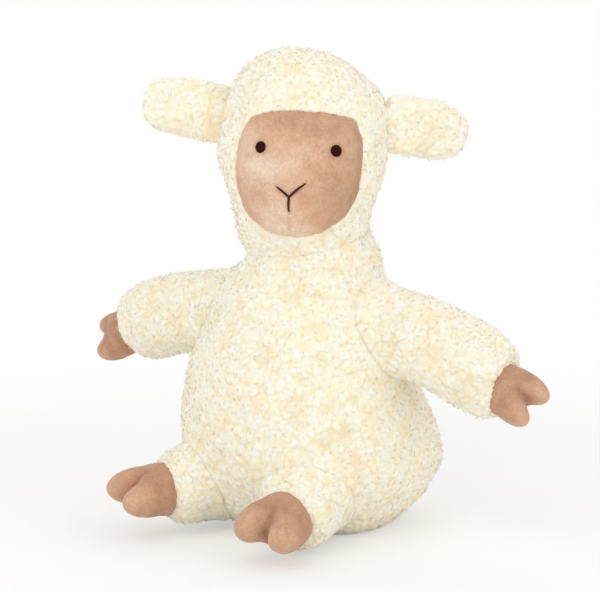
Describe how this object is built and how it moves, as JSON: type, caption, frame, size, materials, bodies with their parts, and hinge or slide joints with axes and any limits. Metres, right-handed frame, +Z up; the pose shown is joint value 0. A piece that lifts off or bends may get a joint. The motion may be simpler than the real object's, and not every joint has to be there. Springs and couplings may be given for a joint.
{
  "type": "plush sheep",
  "caption": "Seated plush sheep of curly cream fleece with a velour face and cloven hooves, ears held level, arms spread and short legs forward.",
  "frame": {"origin": "middle of the flat seat, on the surface that the sheep sits on", "axes": "+Z up, the torso faces -Y, +X towards the sheep's left arm"},
  "size_m": [0.3797, 0.2499, 0.3335],
  "materials": {
    "curly_fleece": "short curly cream polyester fleece, matte with a soft sheen",
    "velour": "short-pile tan velour",
    "stuffing": "white polyester fibre filling",
    "pellet_bag_cloth": "plain woven inner bag filled with plastic pellets",
    "eye_plastic": "polished dark brown moulded plastic",
    "washer_plastic": "natural moulded polypropylene"
  },
  "bodies": {
    "torso": {"torso_cover": "curly_fleece", "torso_stuffing": "stuffing", "seat_panel": "curly_fleece", "pellet_bag": "pellet_bag_cloth"},
    "head": {"head_cover": "curly_fleece", "face_panel": "velour", "head_stuffing": "stuffing", "left_eye": "eye_plastic", "right_eye": "eye_plastic", "left_eye_washer": "washer_plastic", "right_eye_washer": "washer_plastic"},
    "left_ear": {"left_ear_front": "curly_fleece", "left_ear_back": "curly_fleece"},
    "right_ear": {"right_ear_front": "curly_fleece", "right_ear_back": "curly_fleece"},
    "left_arm": {"left_arm_sleeve": "curly_fleece", "left_hand_hoof": "velour", "left_arm_stuffing": "stuffing"},
    "right_arm": {"right_arm_sleeve": "curly_fleece", "right_hand_hoof": "velour", "right_arm_stuffing": "stuffing"},
    "left_leg": {"left_leg_sleeve": "curly_fleece", "left_foot_hoof": "velour", "left_leg_stuffing": "stuffing"},
    "right_leg": {"right_leg_sleeve": "curly_fleece", "right_foot_hoof": "velour", "right_leg_stuffing": "stuffing"},
    "tail": {"tail": "curly_fleece"}
  },
  "joints": [
    {"name": "head_nod", "type": "hinge", "parent": "torso", "child": "head", "pos_m": [0, -0.013, 0.198], "axis": [0.8652, 0.4995, -0.0436], "range_deg": [-15, 15], "stiffness_Nm_per_rad": 1.2},
    {"name": "left_ear_fold", "type": "hinge", "parent": "head", "child": "left_ear", "pos_m": [0.05357, 0.01562, 0.28143], "axis": [-0.0378, -0.0218, -0.999], "range_deg": [-25, 25], "stiffness_Nm_per_rad": 0.08},
    {"name": "right_ear_fold", "type": "hinge", "parent": "head", "child": "right_ear", "pos_m": [-0.04507, -0.04133, 0.2864], "axis": [0.0378, 0.0218, 0.999], "range_deg": [-25, 25], "stiffness_Nm_per_rad": 0.08},
    {"name": "left_arm_swing", "type": "hinge", "parent": "torso", "child": "left_arm", "pos_m": [0.062, -0.007, 0.149], "axis": [0, -1, 0], "range_deg": [-15, 40], "stiffness_Nm_per_rad": 0.7},
    {"name": "right_arm_swing", "type": "hinge", "parent": "torso", "child": "right_arm", "pos_m": [-0.062, -0.007, 0.149], "axis": [0, 1, 0], "range_deg": [-15, 40], "stiffness_Nm_per_rad": 0.7},
    {"name": "left_leg_lift", "type": "hinge", "parent": "torso", "child": "left_leg", "pos_m": [0.045, -0.064, 0.031], "axis": [-0.9986, -0.0523, 0], "range_deg": [-15, 20], "stiffness_Nm_per_rad": 0.7},
    {"name": "right_leg_lift", "type": "hinge", "parent": "torso", "child": "right_leg", "pos_m": [-0.045, -0.064, 0.031], "axis": [-0.8988, 0.4384, 0], "range_deg": [-15, 20], "stiffness_Nm_per_rad": 0.7},
    {"name": "tail_swing", "type": "hinge", "parent": "torso", "child": "tail", "pos_m": [0, 0.09, 0.062], "axis": [1, 0, 0], "range_deg": [-10, 35], "stiffness_Nm_per_rad": 0.08}
  ]
}
